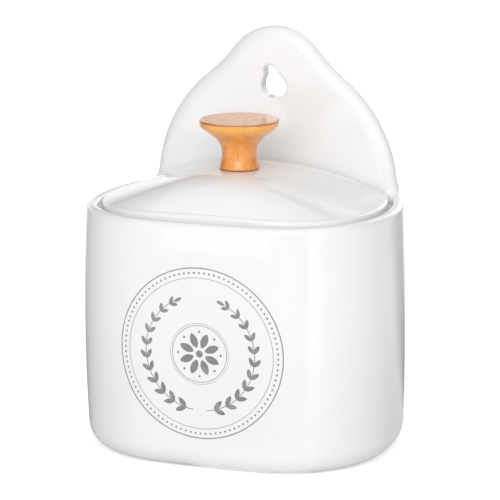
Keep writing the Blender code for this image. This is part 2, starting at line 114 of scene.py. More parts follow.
class CellarBody(bpy.types.PropertyGroup):
    width: length("Width", "Widest part of the body", round(POT_HIGH.x - POT_LOW.x, 3))
    depth: length("Depth", "From the bowed front to the wall", round(POT_HIGH.y - POT_LOW.y, 3))
    rim_height: length("Rim height", "Top of the rim", 0.1083)
    bow_radius: length("Bow radius", "Plan radius of the front", 0.345)
    corner_radius: length("Corner radius", "Plan radius of the front corners", 0.0465)
    side_radius: length("Side radius", "Plan radius of the bowed sides", 0.088)
    back_corner: length("Back corner", "Plan radius of the outer back corners", 0.010)
    belly_draw: length("Belly", "How far rim and foot draw in from the middle", 0.0012)
    wall: length("Wall", "Thickness of front and sides", 0.005)
    floor: length("Floor", "Thickness of the floor", 0.006)
    rim_rounding: length("Rim rounding", "Height of the rim's rounding", 0.0022)
    foot_rounding: length("Foot rounding", "Radius at the edge of the foot", 0.010)
    foot_land: length("Foot land", "Width of the bare ring that the pot stands on", 0.005)
    foot_recess: length("Foot recess", "Depth under the middle of the foot", 0.0015)
    foot_corner: length("Foot corner", "Plan radius of the foot's back corners", 0.008)
    floor_rounding: length("Floor rounding", "Radius between the floor and the walls", 0.008)
    floor_corner: length("Floor corner", "Plan radius of the floor's back corners", 0.006)
    ledge_drop: length("Ledge drop", "From the rim down to the ledge", 0.0037)
    ledge_width: length("Ledge width", "How far the ledge stands in", 0.0035)
    ledge_thickness: length("Ledge thickness", "Height of the ledge's inner face", 0.0025)
    ledge_taper: length("Ledge taper", "Height of the slope under the ledge", 0.005)
    mouth_corner: length("Mouth corner", "Plan radius of the mouth's back corners", 0.009)


class CellarPlate(bpy.types.PropertyGroup):
    thickness: length("Thickness", "Thickness of plate and back wall", 0.0075)
    half_width: length("Half width", "Half the width where the plate leaves the rim", 0.0576)
    back_edge: length("Back edge", "Radius of the edge towards the wall", 0.0025)
    front_edge: length("Front edge", "How far the soft front edge reaches in", 0.0065)
    fillet: length("Fillet", "Height of the bend from rim to flank", 0.004)
    stretch: length("Blend", "Height below the rim where plate and body blend", 0.013)
    hole_width: length("Hole width", "Width of the hanging hole", 0.0118)
    hole_height: length("Hole height", "Height of the hanging hole", 0.0146)
    hole_drop: length("Hole drop", "From the plate's top to the middle of the hole", 0.0244)
    hole_aside: length("Hole aside", "How far the hole's middle stands to the right", 0.0004)
    hole_rounding: length("Hole rounding", "Radius of the hole's edges", 0.0012)


class CellarLid(bpy.types.PropertyGroup):
    gap: length("Gap", "Space between lid and rim", 0.0017)
    seat: length("Seat", "Space between touching pieces", 0.0003)
    lip: length("Lip", "Thickness of the lid's border", 0.004)
    vault: length("Vault", "Rise from the border to the middle of the back edge", 0.0111)
    wall: length("Wall", "Thickness of the vault", 0.0045)
    edge: length("Edge", "Radius of the upper edge", 0.0018)
    bottom_edge: length("Bottom edge", "Bevel of the lower edge", 0.0006)
    vault_corner: length("Vault corner", "Plan radius that the vault falls to", 0.002)
    flange_play: length("Flange play", "Space between flange and ledge", 0.001)
    flange_wall: length("Flange wall", "Thickness of the flange", 0.0035)
    flange_corner: length("Flange corner", "Plan radius of the hollow's back corners", 0.004)
    crown_radius: length("Crown radius", "Radius of the level place under the knob", 0.0088)
    bore_play: length("Bore play", "Space between the screw and its bore", 0.0004)


class CellarKnob(bpy.types.PropertyGroup):
    band: length("Band", "Height of the band round the top", 0.0029)
    band_draw: length("Band draw", "How far the band draws in below", 0.0004)
    top_edge: length("Top edge", "Radius of the upper edge", 0.0009)
    waist_radius: length("Waist radius", "Smallest radius", 0.0076)
    waist_height: length("Waist height", "Height of the waist over the base", 0.0066)
    foot_radius: length("Foot radius", "Radius of the spreading foot", 0.00875)
    foot_edge: length("Foot edge", "Radius of the foot's edge", 0.0004)
    screw_radius: length("Screw radius", "Radius of the screw's thread", 0.002)
    thread_pitch: length("Thread pitch", "From one turn of the thread to the next", 0.0007)
    thread_depth: length("Thread depth", "Depth of the thread", 0.0003)
    driver_width: length("Driver width", "Width of the cross in the screw's head", 0.0009)
    driver_reach: length("Driver reach", "Length of the cross's arms", 0.0021)
    driver_depth: length("Driver depth", "Depth of the cross", 0.0014)


class CellarPrint(bpy.types.PropertyGroup):
    height: length("Height", "Height of the medallion's middle", 0.0526)
    radius: length("Radius", "Outer radius along the glaze", 0.0375)
    thickness: length("Thickness", "How far the ink stands up", 0.00004)
    beads: IntProperty(name="Beads", description="Dots in the border", default=96, min=12)
    leaves: IntProperty(name="Leaves", description="Leaf pairs on each branch", default=11, min=3)
    petals: IntProperty(name="Petals", description="Petals of the rosette", default=8, min=3)


class CellarColours(bpy.types.PropertyGroup):
    glaze: colour("Glaze", "White glaze", (0.875, 0.877, 0.880))
    clay: colour("Clay", "Bare clay of the foot", (0.74, 0.70, 0.64))
    bamboo_light: colour("Light bamboo", "Flesh of the bamboo", (0.94, 0.385, 0.090))
    bamboo_dark: colour("Dark bamboo", "Fibres of the bamboo", (0.60, 0.19, 0.033))
    ink: colour("Ink", "Grey print", (0.235, 0.240, 0.250))
    steel: colour("Steel", "Zinc-plated steel", (0.63, 0.64, 0.65))
    brass: colour("Brass", "Turned brass", (0.77, 0.56, 0.26))
    rubber: colour("Rubber", "Seal under the washer", (0.50, 0.50, 0.48))


GROUPS = {"body": CellarBody, "plate": CellarPlate, "lid": CellarLid, "knob": CellarKnob,
          "print": CellarPrint, "colours": CellarColours}


def settings(name):
    return getattr(bpy.context.scene, "cellar_" + name)


class Wire:
    """A value or colour that a node gives. Sums written on it add Math nodes."""

    def __init__(self, board, socket):
        self.board = board
        self.socket = socket

    def combined(self, operation, first, second):
        return self.board.node("Math", {0: first, 1: second}, operation=operation)

    def __add__(self, other):
        return self.combined("ADD", self, other)

    __radd__ = __add__

    def __sub__(self, other):
        return self.combined("SUBTRACT", self, other)

    def __rsub__(self, other):
        return self.combined("SUBTRACT", other, self)

    def __mul__(self, other):
        return self.combined("MULTIPLY", self, other)

    __rmul__ = __mul__

    def __truediv__(self, other):
        return self.combined("DIVIDE", self, other)

    def __lt__(self, other):
        return self.combined("LESS_THAN", self, other)

    def __gt__(self, other):
        return self.combined("GREATER_THAN", self, other)


class Board:
    """The node tree of one finish, or of the surroundings."""

    def __init__(self, owner):
        self.owner = owner
        owner.use_nodes = True
        self.tree = owner.node_tree
        self.tree.nodes.clear()

    def node(self, kind, values=None, output=0, stops=None, **options):
        """Adds a shader node: its options and ramp stops first, then the values or links of its sockets."""
        made = self.tree.nodes.new("ShaderNode" + kind)
        for option, value in options.items():
            setattr(made, option, value)
        if stops:
            ramp = made.color_ramp
            while len(ramp.elements) < len(stops):
                ramp.elements.new(1)
            for element, (place, shade) in zip(ramp.elements, stops):
                element.position = place
                element.color = (shade, shade, shade, 1)
        for key, value in (values or {}).items():
            socket = made.inputs[key]
            if isinstance(value, Wire):
                self.tree.links.new(value.socket, socket)
            elif socket.type == "RGBA" and len(value) == 3:
                socket.default_value = (*value, 1)
            else:
                socket.default_value = value
        return Wire(self, made.outputs[output]) if made.outputs else None

    def place(self, scale=(1, 1, 1)):
        """Object coordinates, scaled for a pattern."""
        raw = self.node("TexCoord", output="Object")
        return self.node("Mapping", {"Vector": raw, "Scale": scale})

    def height(self):
        return self.node("SeparateXYZ", {0: self.place()}, output=2)

    def noise(self, scale, detail=3, where=None, roughness=0.5):
        values = {"Vector": where or self.place(), "Scale": scale, "Detail": detail, "Roughness": roughness}
        return self.node("TexNoise", values)

    def cells(self, scale, output, where=None):
        values = {"Vector": where or self.place(), "Scale": scale}
        return self.node("TexVoronoi", values, output=output)

    def ramp(self, value, *stops, interpolation="EASE"):
        made = self.node("ValToRGB", {0: value}, stops=stops)
        made.socket.node.color_ramp.interpolation = interpolation
        return made

    def line(self, value, *stops):
        """A ramp that runs straight from stop to stop."""
        return self.ramp(value, *stops, interpolation="LINEAR")

    def mixed(self, share, first, second):
        """A colour between two, by this share of the second."""
        return self.node("Mix", {0: share, 6: first, 7: second}, output=2, data_type="RGBA")

    def toned(self, share, colour, factor):
        """This colour, and this many times it where the share is 1."""
        return self.mixed(share, shaded(colour), shaded(colour, factor))

    def bump(self, height, distance, strength=1, below=None):
        values = {"Height": height, "Distance": distance, "Strength": strength}
        if below:
            values["Normal"] = below
        return self.node("Bump", values)

    def surface(self, shader, kind="OutputMaterial"):
        """Ends the tree and gives back the material or world that it belongs to."""
        self.node(kind, {"Surface": shader})
        return self.owner

    def principled(self, values):
        return self.surface(self.node("BsdfPrincipled", values))


def finish(name):
    return Board(bpy.data.materials.new(name))


def shaded(colour, factor=1):
    return tuple(min(1, part * factor) for part in colour)


def glaze_finish(name, bare_below):
    """White glaze with a soft wave, a fine skin and rare pinholes. Below this height the clay is bare."""
    colours = settings("colours")
    board = finish(name)
    tone = board.noise(22, 3)
    rare = board.node("SeparateColor", {0: board.cells(95, "Color")})
    pinhole = (board.cells(95, "Distance") < 0.022) * (rare > 0.86)
    bare = board.height() < bare_below
    white = board.toned(board.ramp(tone, (0.35, 0), (0.7, 1)), colours.glaze, 0.985)
    white = board.mixed(pinhole * 0.35, white, shaded(colours.clay))
    clay = board.toned(board.noise(2600, 2), colours.clay, 0.86)
    wave = board.bump(board.noise(45, 2), 0.0006, 0.15)
    skin_grain = board.bump(board.noise(700, 2), 0.00002, 0.3, wave)
    pitted = board.bump(1 - pinhole, 0.0001, 0.4, skin_grain)
    return board.principled({
        "Base Color": board.mixed(bare, white, clay),
        "Roughness": 0.025 + 0.03 * tone + 0.7 * bare,
        "IOR": GLAZE_IOR,
        "Normal": pitted,
    })


def bamboo_finish():
    """Turned bamboo: long fibres that show as streaks on the side and as dots on the top, under varnish."""
    colours = settings("colours")
    board = finish("varnished_bamboo")
    streak_place = board.place(scale=(1, 1, 0.06))
    fibre = board.noise(1700, 4, streak_place, 0.65)
    band = board.noise(260, 2, streak_place)
    fleck = board.cells(620, "Distance", board.place(scale=(1, 1, 0.25)))
    dark_fleck = (fleck < 0.16) * board.ramp(board.noise(260, 2), (0.5, 0), (0.62, 1))
    share = board.ramp(fibre * 0.7 + band * 0.4, (0.46, 0), (0.82, 1))
    wood = board.mixed(share, shaded(colours.bamboo_light), shaded(colours.bamboo_dark))
    wood = board.mixed(dark_fleck * 0.55, wood, shaded(colours.bamboo_dark, 0.45))
    rise = (board.height() - KNOB_LOW.z) / (KNOB_HIGH.z - KNOB_LOW.z)
    pale = board.ramp(rise, (0.72, 0), (0.80, 1), (0.955, 1), (0.965, 0))
    wood = board.mixed(pale * 0.5, wood, shaded(colours.bamboo_light, 1.35))
    # Painted shade: the knob's foot is darkened as a painted contact shadow, and a thin dark line is laid
    # just under the top edge.
    foot_shadow_and_top_line = board.line(rise, *FOOT_SHADOW_AND_TOP_LINE_STOPS)
    wood = board.mixed(foot_shadow_and_top_line * 0.65, wood, shaded(colours.bamboo_dark, 0.5))
    return board.principled({
        "Base Color": wood,
        "Roughness": 0.28 + 0.2 * fibre,
        "Specular IOR Level": 0.25,
        "IOR": 1.5,
        "Coat Weight": 0.9 + 0.1 * band,
        "Coat Roughness": 0.04,
        "Normal": board.bump(fibre, 0.00005, 0.35, board.bump(band, 0.0002, 0.25)),
    })


def ink_finish():
    """Grey print fired on to the glaze, a little uneven as a screen leaves it."""
    ink = settings("colours").ink
    board = finish("grey_print")
    patch = board.noise(160, 3)
    grain = board.noise(2400, 2)
    thin = board.ramp(patch * 0.6 + grain * 0.4, (0.42, 0), (0.68, 1))
    return board.principled({
        "Base Color": board.toned(thin, ink, 1.45),
        "Roughness": 0.16 + 0.2 * grain,
        "IOR": GLAZE_IOR,
        "Normal": board.bump(grain, 0.00001, 0.3),
    })


def metal_finish(name, shade, roughness):
    """Turned metal: fine lines that run round the axis, with a cloudy plated tone."""
    board = finish(name)
    lines = board.noise(9000, 2, board.place(scale=(0.2, 0.2, 3)))
    cloud = board.noise(350, 3)
    return board.principled({
        "Base Color": board.toned(board.ramp(cloud, (0.35, 0), (0.7, 1)), shade, 0.8),
        "Metallic": 1,
        "Roughness": roughness + 0.15 * lines + 0.1 * cloud,
        "Normal": board.bump(lines, 0.00001, 0.4),
    })


def rubber_finish():
    board = finish("seal_rubber")
    dust = board.noise(1500, 3)
    return board.principled({
        "Base Color": board.toned(dust, settings("colours").rubber, 0.8),
        "Roughness": 0.5 + 0.25 * dust,
        "Normal": board.bump(dust, 0.00002, 0.4),
    })


def curve_point(controls, share):
    """The point of the Bezier curve with these controls at this share of its parameter."""
    points = np.asarray(controls, float)
    while len(points) > 1:
        points = points[:-1] + (points[1:] - points[:-1]) * share
    return points[0]


def curve_direction(controls, share):
    slope = curve_point(np.diff(np.asarray(controls, float), axis=0), share)
    return slope / np.linalg.norm(slope)


def blended(first, last, share):
    return first + (last - first) * share


def edge_shares(steps):
    """How far in and how far up each point of a rounded edge lies, from its outermost point to its top."""
    return [(1 - sin(turn), 1 - cos(turn)) for turn in np.linspace(0, pi / 2, steps + 1)]


def around(radius, turn):
    """The point this far from the middle in this direction."""
    return radius * cos(turn), radius * sin(turn)


def seen_from(half, focus_y):
    """The points' directions, counted from the front, and distances from this place on the middle line."""
    away = focus_y - half[:, 1]
    return np.arctan2(half[:, 0], away), np.hypot(half[:, 0], away)


def at_height(half, z):
    return np.column_stack([half[:, :2], np.broadcast_to(z, len(half))])


def whole(half):
    """A closed ring from its right half."""
    return np.concatenate([half, half[-2:0:-1] * (-1, 1, 1)])


def belly_draw(z):
    body = settings("body")
    return body.belly_draw * (2 * z / body.rim_height - 1) ** 2


def bow_end(half_width, bow, corner, side):
    """How far the plan's normal has turned where the front's bow gives way to the corner."""
    sine = sin(SIDE_TURN)
    return asin((half_width - corner * sine - side * (1 - sine)) / (bow - corner))


def level(z, inset, back_inset, back_radius, steps):
    """Half a ring of the body at height z, from the middle of the front round the right side to the back's
    middle, drawn in at rim and foot and set in from the outer faces. Its arcs run on smoothly."""
    body = settings("body")
    draw = belly_draw(z)
    half_width, depth = body.width / 2 - draw - inset, body.depth - draw - inset - back_inset
    bow, corner, side = (radius - inset for radius in (body.bow_radius, body.corner_radius, body.side_radius))
    bow_turn = bow_end(half_width, bow, corner, side)
    cosine = cos(SIDE_TURN)
    run = bow * (1 - cos(bow_turn)) + corner * (cos(bow_turn) - cosine) + side * cosine
    back_turn = acos((run + back_radius - depth) / (side - back_radius))
    turns = (0, bow_turn, SIDE_TURN, back_turn, pi)
    x, y = 0, body.depth / 2 - back_inset - depth
    points = [(x, y, z)]
    for radius, start, end, count in zip((bow, corner, side, back_radius), turns, turns[1:], steps):
        for turn in np.linspace(start, end, count + 1)[1:]:
            points.append((x + radius * (sin(turn) - sin(start)), y + radius * (cos(start) - cos(turn)), z))
        x, y = points[-1][:2]
    for share in np.linspace(1, 0, steps[4] + 1)[1:]:
        points.append((x * share, body.depth / 2 - back_inset, z))
    return np.array(points)


def skin(rings, capped):
    """A surface through rings of as many points each. Its ends are capped, or else meet each other."""
    shape = bmesh.new()
    verts = [shape.verts.new(point) for point in rings[0]]
    edges = [shape.edges.new(pair) for pair in zip(verts, verts[1:] + verts[:1])]
    ends = [verts]
    for ring in list(rings[1:]) + ([] if capped else [rings[0]]):
        made = set(bmesh.ops.extrude_edge_only(shape, edges=edges)["geom"])
        verts = [next(edge.other_vert(vert) for edge in vert.link_edges if edge.other_vert(vert) in made)
                 for vert in verts]
        for vert, point in zip(verts, ring):
            vert.co = point
        edges = [shape.edges.get(pair) for pair in zip(verts, verts[1:] + verts[:1])]
    ends.append(verts)
    if capped:
        for verts in ends:
            shape.faces.new(verts)
    return shape


def new_verts(made):
    """The vertices among what a bmesh operator made."""
    return [part for part in made["geom"] if isinstance(part, bmesh.types.BMVert)]


def turned(profile, steps):
    """A profile, in radius and height, spun about the knob's axis."""
    shape = bmesh.new()
    verts = [shape.verts.new((radius, 0, z)) for radius, z in profile]
    edges = [shape.edges.new(pair) for pair in zip(verts, verts[1:])]
    bmesh.ops.spin(shape, geom=verts + edges, axis=(0, 0, 1), angle=2 * pi, steps=steps, use_merge=True)
    return shape


def added(name, data):
    """A new object in the scene that holds this data."""
    made = bpy.data.objects.new(name, data)
    bpy.context.scene.collection.objects.link(made)
    return made


def meshed(name, shape):
    """A new object in the scene that has this shape."""
    mesh = bpy.data.meshes.new(name)
    shape.to_mesh(mesh)
    shape.free()
    return added(name, mesh)


def smoothed(mesh):
    mesh.shade_smooth()
    mesh.set_sharp_from_angle(angle=SMOOTH_ANGLE)


def piece_from(name, shape, material, body, stands_for=(), weighted=False):
    """A finished piece of this shape, facing out, riding on its body."""
    bmesh.ops.remove_doubles(shape, verts=shape.verts, dist=MERGE)
    bmesh.ops.recalc_face_normals(shape, faces=shape.faces)
    piece = meshed(name, shape)
    smoothed(piece.data)
    piece.data.materials.append(material)
    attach(piece, body)
    if stands_for:
        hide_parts(*stands_for)
    if weighted:
        even = piece.modifiers.new("even shading", "WEIGHTED_NORMAL")
        even.keep_sharp = True
    return piece


POT_STEPS = (10, 40, 14, 14, 64)
PLATE_CURVE_STEPS = (8, 22, 12, 22)
LID_STEPS = (10, 36, 14, 12, 40)
EDGE_STEPS = 10
SOFT_STEPS = 4
RECESS_STEPS = 3
WALL_STEPS = 15
INNER_WALL_STEPS = 13
HOLE_STEPS = 6
PROFILE_STEPS = 32
KNOB_STEPS = 96
FIXING_STEPS = 64
LEAF_STEPS = 16
STEM_STEPS = 60
MEDALLION_BANDS = ((0.993, 0.013, 160), (0.88, 0.006, 160), (0.33, 0.007, 96), (0.355, 0.004, 96))


def plate_outline():
    """The plate's crest line from its flank to its top and the direction out of it, one row a point."""
    body, plate = settings("body"), settings("plate")
    curves = np.array(PLATE_CURVE_SHARES) * (plate.half_width, POT_HIGH.z - body.rim_height)
    start_share = plate.fillet / curves[0, -1, 1]
    curves[0] = [curve_point(curves[0], blended(start_share, 1, share)) for share in np.linspace(0, 1, 4)]
    places = [(curves[0], 0)]
    for curve, count in zip(curves, PLATE_CURVE_STEPS):
        places += [(curve, share) for share in np.linspace(0, 1, count + 1)[1:]]
    y = body.depth / 2 - plate.back_edge
    tops, ups = [], []
    for curve, share in places:
        x, z = curve_point(curve, share)
        along_x, along_z = curve_direction(curve, share)
        tops.append((x, y, body.rim_height + z))
        ups.append((along_z, 0, -along_x))
    return np.array(tops), np.array(ups)


def pot_level(z, inset, back_inset, back_radius):
    return level(z, inset, back_inset, back_radius, POT_STEPS)


def inner_level(z, inset=0):
    """Half a ring inside the pot, this far in from its wall."""
    body = settings("body")
    return pot_level(z, body.wall + inset, settings("plate").thickness + inset, body.mouth_corner - inset)


def crest_frame():
    """The line of the rim's top, which runs on round the plate, with the directions up and out of the edge
    there and the sizes of its rounding: out, down on the outside, in, and down on the inside."""
    body, plate = settings("body"), settings("plate")
    outer, inner = pot_level(body.rim_height, 0, 0, body.back_corner), inner_level(body.rim_height)
    tops, rim_out = (outer + inner) / 2, (outer - inner) / 2
    half_wall = np.linalg.norm(rim_out, axis=1)
    out = rim_out / half_wall[:, None]
    up = np.tile((0.0, 0.0, 1.0), (len(tops), 1))
    rounding = np.full(len(tops), body.rim_rounding)
    sizes = np.column_stack([half_wall, rounding, half_wall, rounding])

    rim_end, plate_start = sum(POT_STEPS[:3]), sum(POT_STEPS[:4])
    tops[plate_start:], up[plate_start:] = plate_outline()
    out[plate_start:] = (0, 1, 0)
    back_edge = plate.back_edge
    sizes[plate_start:] = (back_edge, back_edge, plate.thickness - back_edge, plate.front_edge)
    bend = (tops[rim_end], (plate.half_width, tops[plate_start, 1], body.rim_height), tops[plate_start])
    for index in range(rim_end + 1, plate_start):
        share = (index - rim_end) / (plate_start - rim_end)
        tops[index] = curve_point(bend, share)
        out[index] = blended(out[rim_end], out[plate_start], share)
        up[index] = np.cross(out[index], curve_direction(bend, share))
        sizes[index] = blended(sizes[rim_end], sizes[plate_start], share)
    up, out = (rows / np.linalg.norm(rows, axis=1)[:, None] for rows in (up, out))
    return tops, up, out, sizes


def crest_rings():
    """The rounding of the crest, over the top from its outer end to its inner end."""
    back_y = settings("body").depth / 2
    tops, up, out, sizes = crest_frame()

    def at(down, back, side, reach, fall):
        ring = tops + out * (side * reach * (1 - back))[:, None] - up * (fall * down)[:, None]
        ring[:, 1] = np.minimum(ring[:, 1], back_y)
        return ring

    shares = edge_shares(EDGE_STEPS)
    outside = [at(down, back, 1, sizes[:, 0], sizes[:, 1]) for down, back in shares]
    inside = [at(down, back, -1, sizes[:, 2], sizes[:, 3]) for down, back in shares[-2::-1]]
    return outside + inside


def edge_rings(z, inset, back_inset, corners, radius):
    """Half rings up a rounded edge at the foot of the box, with the back corners' radii below and above."""
    return [pot_level(z + up * radius, inset + away * radius, back_inset + away * radius,
                      blended(corners[1], corners[0], away)) for away, up in edge_shares(EDGE_STEPS)]


def pot_rings():
    """Half rings of the pot from the recess under its foot, up outside, over the crest and down inside."""
    body, plate = settings("body"), settings("plate")
    land = body.foot_rounding + body.foot_land
    rings = []
    for down, up in edge_shares(RECESS_STEPS)[::-1]:
        away = body.foot_recess * (1 - down)
        ring = pot_level(0, land + away, land + away, body.foot_corner - away)
        rings.append(at_height(ring, body.foot_recess * up))
    rings += edge_rings(0, 0, 0, (body.foot_corner, body.back_corner), body.foot_rounding)
    for z in np.linspace(body.foot_rounding, body.rim_height - plate.stretch, WALL_STEPS + 1)[1:]:
        rings.append(pot_level(z, 0, 0, body.back_corner))
    crest = crest_rings()
    rings += [blended(rings[-1], crest[0], share) for share in CREST_FOOT_SHARES]
    rings += crest
    ledge_z = body.rim_height - body.ledge_drop
    mouth, ledge = inner_level(ledge_z), inner_level(ledge_z, body.ledge_width)
    rings += [blended(crest[-1], mouth, share) for share in STRETCH_SHARES]
    ledge_foot = ledge_z - body.ledge_thickness
    rings += [blended(mouth, ledge, share) for share in LEDGE_SHARES]
    rings += [at_height(ledge, z) for z in (blended(ledge_z, ledge_foot, 0.2), ledge_foot)]
    floor_edge = body.floor + body.floor_rounding
    for z in np.linspace(ledge_foot - body.ledge_taper, floor_edge, INNER_WALL_STEPS + 1)[:-1]:
        rings.append(inner_level(z))
    corners = body.floor_corner, body.mouth_corner
    return rings + edge_rings(body.floor, body.wall, plate.thickness, corners, body.floor_rounding)[::-1]


def hole_ring(y, spread):
    """The hanging hole's outline at this depth, grown by spread: a smooth closed curve through its points."""
    plate = settings("plate")
    points = np.array(HOLE_OUTLINE_SHARES) * (plate.hole_width / 2, plate.hole_height / 2)
    points += (plate.hole_aside, POT_HIGH.z - plate.hole_drop)
    following = np.roll(points, -1, axis=0)
    slopes = (following - np.roll(points, 1, axis=0)) / 6
    ring = []
    for curve in zip(points, points + slopes, following - np.roll(slopes, -1, axis=0), following):
        for share in np.linspace(0, 1, HOLE_STEPS + 1)[:-1]:
            x, z = curve_point(curve, share)
            along_x, along_z = curve_direction(curve, share)
            ring.append((x - spread * along_z, y, z + spread * along_x))
    return ring


def hole_cutter():
    """The tool that cuts the hanging hole and rounds its edges at both faces of the plate."""
    plate, back = settings("plate"), settings("body").depth / 2
    rounding = plate.hole_rounding
    rings = []
    for face, inward in ((back - plate.thickness, 1), (back, -1)):
        side = [hole_ring(face - inward * rounding, rounding)]
        for wider, deep in edge_shares(EDGE_STEPS):
            side.append(hole_ring(face + inward * rounding * deep, rounding * wider))
        rings += side[::inward]
    shape = skin(rings, True)
    bmesh.ops.recalc_face_normals(shape, faces=shape.faces)
    return meshed("hole_cutter", shape)


def cut_away(piece, cutter):
    """Cuts the cutter's shape out of the piece for good and removes the cutter."""
    cut = piece.modifiers.new("cut", "BOOLEAN")
    cut.object = cutter
    graph = bpy.context.evaluated_depsgraph_get()
    mesh = bpy.data.meshes.new_from_object(piece.evaluated_get(graph))
    piece.modifiers.remove(cut)
    old, piece.data = piece.data, mesh
    mesh.name = old.name
    bpy.data.meshes.remove(old)
    bpy.data.objects.remove(cutter)
    smoothed(mesh)


def vaulted(half, down=0):
    """The half ring lifted on to the lid's vault, or this far below it. The vault falls from the middle of
    its straight back edge to the border all round, and stays high for longer towards the front."""
    body, plate, lid = settings("body"), settings("plate"), settings("lid")
    focus_y = body.depth / 2 - plate.thickness - lid.gap
    border = lid_level(0, lid.vault_corner)[:sum(LID_STEPS[:4]) + 1]
    turn, away = seen_from(half, focus_y)
    reach = np.interp(turn, *seen_from(border, focus_y))
    fall = (away / reach) ** blended(VAULT_SIDE_POWER, VAULT_FRONT_POWER, np.cos(turn) ** 2)
    return at_height(half, seat_height() + lid.lip + lid.vault * (1 - fall) - down)


def crowned(half):
    """The half ring lifted on to the lid's top, which is level round the knob. It falls from there to the
    border and, along the plate, to the vault's back edge, and stays high for longer in front."""
    lid = settings("lid")
    border = vaulted(lid_level(0, lid.vault_corner))
    turn, away = seen_from(half, 0)
    border_turn, border_away = seen_from(border, 0)
    reach = np.interp(turn, border_turn, border_away) - lid.crown_radius
    share = np.clip((away - lid.crown_radius) / reach, 0, 1)
    fall = share ** blended(CROWN_SIDE_POWER, CROWN_FRONT_POWER, np.cos(turn) ** 2)
    return at_height(half, blended(LID_HIGH.z, np.interp(turn, border_turn, border[:, 2]), fall))


def seat_height():
    body = settings("body")
    return body.rim_height - body.ledge_drop + settings("lid").seat


def lid_level(inset, back_radius):
    """Half a ring of the lid, this far in from its border."""
    body, plate, inset = settings("body"), settings("plate"), settings("lid").gap + inset
    return level(body.rim_height, body.wall + inset, plate.thickness + inset, back_radius, LID_STEPS)


def lid_rings():
    """Half rings of the lid from the lower end of its bore, out below, over the lip and up to its crown."""
    body, lid = settings("body"), settings("lid")
    corner = body.mouth_corner - lid.gap
    border = lid_level(0, corner)
    turns, _ = seen_from(border, 0)

    def circle(radius, z=0):
        return at_height(np.column_stack([radius * np.sin(turns), -radius * np.cos(turns)]), z)

    to_flange = body.ledge_width + lid.flange_play - lid.gap
    flange = lid_level(to_flange, corner - to_flange)
    hollow = lid_level(to_flange + lid.flange_wall, lid.flange_corner)
    seat, soft = seat_height(), lid.flange_wall / 4
    bore = settings("knob").screw_radius + lid.bore_play
    seal_seat, seal_radius = vaulted(np.zeros((1, 3)), lid.wall)[0, 2], SEAL_HIGH.x + SEAL_MARGIN
    rings = [circle(bore, seal_seat + BORE_EDGE), circle(bore + BORE_EDGE, seal_seat),
             circle(seal_radius, seal_seat)]
    for share in HOLLOW_SHARES:
        rings.append(vaulted(blended(circle(seal_radius), hollow, share), lid.wall))
    for side, other, order in ((hollow, flange, 1), (flange, hollow, -1)):
        for up, back in edge_shares(SOFT_STEPS)[::order]:
            rings.append(at_height(blended(side, other, back / 4), LID_LOW.z + soft * up))
    rings.append(at_height(flange, seat))
    for away, up in edge_shares(SOFT_STEPS):
        away *= lid.bottom_edge
        rings.append(at_height(lid_level(away, corner - away), seat + lid.bottom_edge * up))
    inner_edge = lid_level(lid.edge, corner - lid.edge)
    top_edge = crowned(inner_edge)
    for down, back in edge_shares(EDGE_STEPS)[:-1]:
        rings.append(at_height(blended(border, top_edge, back), top_edge[:, 2] - lid.edge * down))
    crown = circle(lid.crown_radius)
    for share in TOP_SHARES:
        rings.append(crowned(blended(inner_edge, crown, share)))
    return rings + [circle(bore + BORE_EDGE, LID_HIGH.z), circle(bore, LID_HIGH.z - BORE_EDGE)]


def rounded_corner(centre, radius, start, end, steps=6):
    """Points of an arc between two directions, in degrees from straight out towards up."""
    return [(centre[0] + radius * cos(turn), centre[1] + radius * sin(turn))
            for turn in np.radians(np.linspace(start, end, steps + 1))]


def knob_profile():
    """Radius and height down the knob's outside and up its blind bore."""
    knob = settings("knob")
    low, high, top_radius = KNOB_LOW.z, KNOB_HIGH.z, KNOB_HIGH.x
    flare_end = high - knob.band
    band_foot = top_radius - knob.band_draw
    foot_edge, waist = low + knob.foot_edge, low + knob.waist_height
    profile = [(0, high), (top_radius * 0.5, high)]
    profile += rounded_corner((top_radius - knob.top_edge, high - knob.top_edge), knob.top_edge, 90, 0)
    profile += [(blended(top_radius, band_foot, 0.3), blended(high, flare_end, 0.6)), (band_foot, flare_end)]
    for shares, side, bottom, top in ((FLARE_SHARES, band_foot, waist, flare_end),
                                      (FOOT_CURVE_SHARES, knob.foot_radius, foot_edge, waist)):
        for share in np.linspace(0, 1, PROFILE_STEPS + 1)[1:]:
            out, rise = curve_point(shares, share)
            profile.append((blended(knob.waist_radius, side, out), blended(bottom, top, rise)))
    profile += rounded_corner((knob.foot_radius - knob.foot_edge, foot_edge), knob.foot_edge, 0, -90)[1:]
    bore, bore_end = INSERT_HIGH.x + settings("lid").seat, INSERT_HIGH.z + BORE_SPARE
    return profile + [(bore, low), (bore, bore_end), (0, bore_end)]


def screw_profile():
    """Radius and height of a pan-head screw with turns of thread, from its point down to its head."""
    knob = settings("knob")
    low, high, head_radius = SCREW_LOW.z, SCREW_HIGH.z, SCREW_HIGH.x
    under_head = WASHER_LOW.z - settings("lid").seat
    depth, pitch = knob.thread_depth, knob.thread_pitch
    root, shank = knob.screw_radius - depth, knob.screw_radius - depth / 2
    profile = [(0, high), (root - depth, high), (root, high - depth)]
    for index in range(int((high - under_head) * THREADED_SHARE / pitch)):
        z = high - depth - (index + 0.5) * pitch
        profile += [(knob.screw_radius, z), (root, z - pitch / 2)]
    profile += [(shank, profile[-1][1] - pitch), (shank, under_head), (head_radius, under_head)]
    profile += rounded_corner((head_radius - HEAD_EDGE, low + HEAD_EDGE), HEAD_EDGE, 0, -90)
    return profile + [(0, low)]


